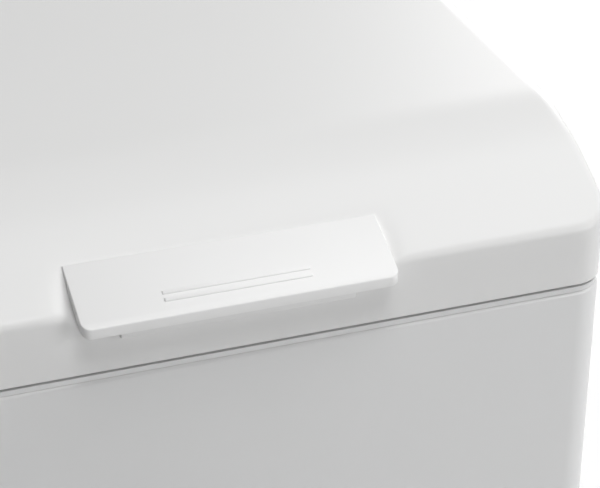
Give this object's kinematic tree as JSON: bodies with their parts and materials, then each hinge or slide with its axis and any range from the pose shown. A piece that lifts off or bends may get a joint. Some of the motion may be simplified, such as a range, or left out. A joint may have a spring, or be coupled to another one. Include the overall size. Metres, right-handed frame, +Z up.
{
  "type": "trash compactor",
  "caption": "Free-standing top-loading household trash compactor with a hinged crowned lid, plate handle, telescopic ram, drawer with bucket, and foot pedal.",
  "frame": {"origin": "on the floor, under the middle of the object's own box", "axes": "+X to the right seen from the front, +Y from the front to the back, +Z up"},
  "size_m": [0.38, 0.6122, 0.887],
  "materials": {
    "white_gloss": "white, gloss",
    "white_steel": "white enamel",
    "white_inner": "satin white",
    "zinc": "zinc plated",
    "dark_steel": "black paint, satin",
    "ram_face": "brushed",
    "black_plastic": "fine texture",
    "rubber": "matt",
    "grey_plastic": "satin",
    "lens_green": "clear lens",
    "board_green": "lacquered board"
  },
  "bodies": {
    "cabinet": {"base_frame": "zinc", "foot_front_left": "rubber", "foot_front_right": "rubber", "foot_rear_left": "rubber", "foot_rear_right": "rubber", "side_panel_left": "white_steel", "side_panel_right": "white_steel", "back_panel": "white_steel", "power_inlet": "black_plastic", "top_collar": "white_gloss", "lock_housing": "black_plastic", "chute": "zinc", "partition": "zinc", "odour_filter": "black_plastic", "toe_kick": "dark_steel", "pedal_pivot": "zinc", "slide_fixed_left": "zinc", "slide_fixed_right": "zinc", "hinge_bracket_left": "zinc", "hinge_bracket_right": "zinc", "hinge_pin_left": "dark_steel", "hinge_pin_right": "dark_steel", "console_housing": "white_gloss", "status_lens": "lens_green", "control_board": "board_green", "key_switch": "black_plastic"},
    "lid": {"lid_shell": "white_gloss", "lid_handle": "white_gloss", "handle_mount": "white_gloss", "lid_liner": "white_inner", "lid_gasket": "rubber", "lock_keeper": "zinc", "lid_frame": "zinc", "hinge_arm_left": "zinc", "hinge_arm_right": "zinc", "column_sleeve": "zinc", "gear_motor": "dark_steel"},
    "stage_1": {"ram_stage_1": "zinc"},
    "stage_2": {"ram_stage_2": "zinc"},
    "stage_3": {"ram_stage_3": "zinc"},
    "ram": {"ram_post": "zinc", "ram_plate": "dark_steel", "ram_face": "ram_face"},
    "screw": {"lead_screw": "zinc"},
    "bolt": {"lock_bolt": "zinc"},
    "drawer": {"drawer_front": "white_steel", "drawer_liner": "white_inner", "drawer_frame": "zinc", "bucket": "grey_plastic"},
    "slides": {"slide_middle_left": "zinc", "slide_middle_right": "zinc"},
    "pedal": {"foot_pedal": "dark_steel"},
    "start": {"start_button": "grey_plastic"},
    "stop": {"stop_button": "grey_plastic"},
    "key": {"key_knob": "black_plastic"}
  },
  "joints": [
    {"name": "lid_hinge", "type": "hinge", "parent": "cabinet", "child": "lid", "pos_m": [0, 0.14212, 0.858], "axis": [-1, 0, 0], "range_deg": [0, 85]},
    {"name": "ram_stage_1_slide", "type": "slide", "parent": "lid", "child": "stage_1", "axis": [0, 0, -1], "range_m": [0, 0.066]},
    {"name": "ram_stage_2_slide", "type": "slide", "parent": "stage_1", "child": "stage_2", "axis": [0, 0, -1], "range_m": [0, 0.066]},
    {"name": "ram_stage_3_slide", "type": "slide", "parent": "stage_2", "child": "stage_3", "axis": [0, 0, -1], "range_m": [0, 0.066]},
    {"name": "ram_plate_slide", "type": "slide", "parent": "stage_3", "child": "ram", "axis": [0, 0, -1], "range_m": [0, 0.066]},
    {"name": "lead_screw_turn", "type": "hinge", "parent": "lid", "child": "screw", "pos_m": [0, -0.04588, 0.8045], "axis": [0, 0, 1], "range_deg": [0, 1190]},
    {"name": "lock_bolt_slide", "type": "slide", "parent": "cabinet", "child": "bolt", "axis": [0, -1, 0], "range_m": [0, 0.008], "stiffness_N_per_m": 200, "springref_m": -0.002},
    {"name": "drawer_slide", "type": "slide", "parent": "cabinet", "child": "drawer", "axis": [0, -1, 0], "range_m": [0, 0.42]},
    {"name": "slide_middle_slide", "type": "slide", "parent": "cabinet", "child": "slides", "axis": [0, -1, 0], "range_m": [0, 0.21]},
    {"name": "pedal_press", "type": "hinge", "parent": "cabinet", "child": "pedal", "pos_m": [0, -0.23988, 0.066], "axis": [1, 0, 0], "range_deg": [0, 12], "stiffness_Nm_per_rad": 2, "springref_deg": -17.19},
    {"name": "start_button_press", "type": "slide", "parent": "cabinet", "child": "start", "axis": [0, 0, -1], "range_m": [0, 0.002], "stiffness_N_per_m": 500, "springref_m": -0.002},
    {"name": "stop_button_press", "type": "slide", "parent": "cabinet", "child": "stop", "axis": [0, 0, -1], "range_m": [0, 0.002], "stiffness_N_per_m": 500, "springref_m": -0.002},
    {"name": "key_turn", "type": "hinge", "parent": "cabinet", "child": "key", "pos_m": [0.052, 0.23412, 0.8705], "axis": [0, 0, -1], "range_deg": [0, 90]}
  ],
  "couplings": [
    {"joint": "ram_stage_2_slide", "follows": "ram_stage_1_slide", "ratio": 1},
    {"joint": "ram_stage_3_slide", "follows": "ram_stage_1_slide", "ratio": 1},
    {"joint": "ram_plate_slide", "follows": "ram_stage_1_slide", "ratio": 1},
    {"joint": "lead_screw_turn", "follows": "ram_stage_1_slide", "rad_per_m": 314.16},
    {"joint": "slide_middle_slide", "follows": "drawer_slide", "ratio": 0.5}
  ]
}
